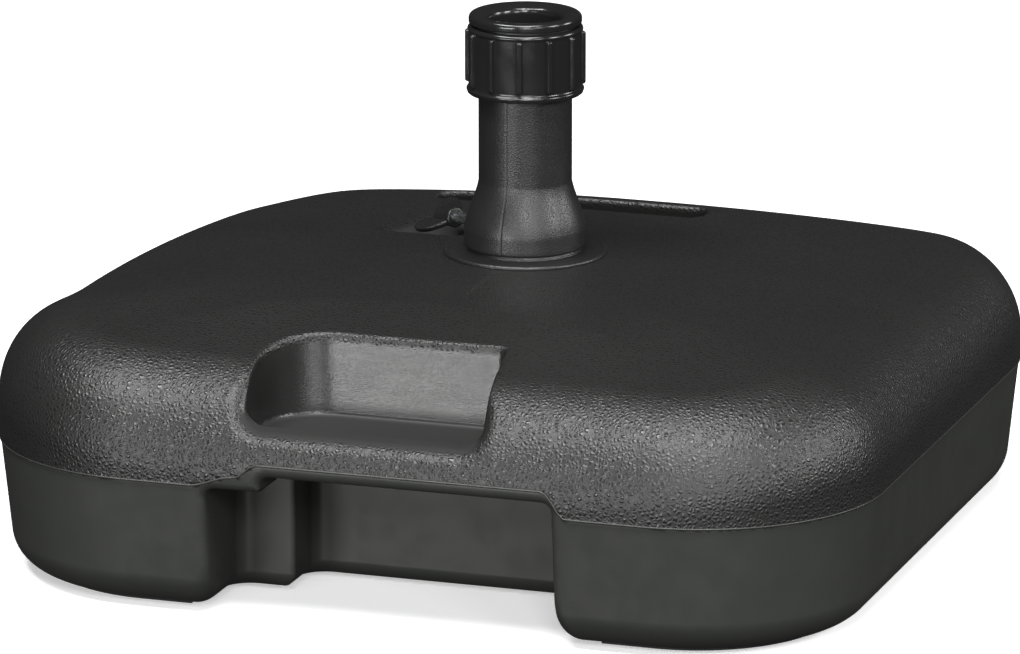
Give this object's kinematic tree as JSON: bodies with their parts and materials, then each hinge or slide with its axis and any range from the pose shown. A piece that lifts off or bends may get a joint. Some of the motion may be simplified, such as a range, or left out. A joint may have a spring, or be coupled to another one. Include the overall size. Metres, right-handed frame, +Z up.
{
  "type": "parasol_base",
  "caption": "Square water-filled plastic parasol base with a front grip pocket, a plug-in pole tube, a ribbed clamping nut and a wing screw",
  "frame": {"origin": "on the floor, on the pole's axis, which is the middle of the square tank's footprint", "axes": "+Z up along the pole; -Y is the front with the grip pocket and hand space; +X is to the right of someone facing the front"},
  "size_m": [0.48, 0.48, 0.2775],
  "materials": {
    "tank_plastic": "grained blow-moulded polyethylene, satin below the parting line",
    "tube_plastic": "fine satin moulding",
    "gloss_plastic": "polished black moulding",
    "washer_plastic": "natural acetal",
    "seal_rubber": "flat seal",
    "foot_rubber": "foam rubber pad",
    "spring_steel": "zinc plated",
    "brass": "machined"
  },
  "bodies": {
    "base": {"tank": "tank_plastic", "neck_flange": "tube_plastic", "neck_seal": "seal_rubber", "foot_front_left": "foot_rubber", "foot_front_right": "foot_rubber", "foot_rear_left": "foot_rubber", "foot_rear_right": "foot_rubber"},
    "tube": {"pole_tube": "tube_plastic", "socket_pipe": "tube_plastic", "end_plug": "tube_plastic", "screw_insert": "brass"},
    "clamp": {"collet": "gloss_plastic", "snap_ring": "spring_steel", "slip_washer": "washer_plastic"},
    "nut": {"clamp_nut": "gloss_plastic"},
    "pad": {"pressure_pad": "washer_plastic"},
    "knob": {"wing_knob": "tube_plastic", "screw_shank": "spring_steel"}
  },
  "joints": [
    {"name": "tube_lift", "type": "slide", "parent": "base", "child": "tube", "axis": [0, 0, 1], "range_m": [0, 0.15]},
    {"name": "nut_travel", "type": "slide", "parent": "tube", "child": "clamp", "axis": [0, 0, 1], "range_m": [0, 0.008]},
    {"name": "nut_turn", "type": "hinge", "parent": "clamp", "child": "nut", "pos_m": [0, 0, 0.245], "axis": [0, 0, 1], "range_deg": [0, 721]},
    {"name": "screw_travel", "type": "slide", "parent": "tube", "child": "pad", "axis": [-0.8245, 0.5561, -0.1045], "range_m": [-0.008, 0.002]},
    {"name": "screw_turn", "type": "hinge", "parent": "pad", "child": "knob", "pos_m": [-0.02711, 0.01829, 0.1562], "axis": [-0.8245, 0.5561, -0.1045], "range_deg": [-1441, 361]}
  ],
  "couplings": [
    {"joint": "nut_turn", "follows": "nut_travel", "rad_per_m": 1570.8},
    {"joint": "screw_turn", "follows": "screw_travel", "rad_per_m": 3141.6}
  ]
}
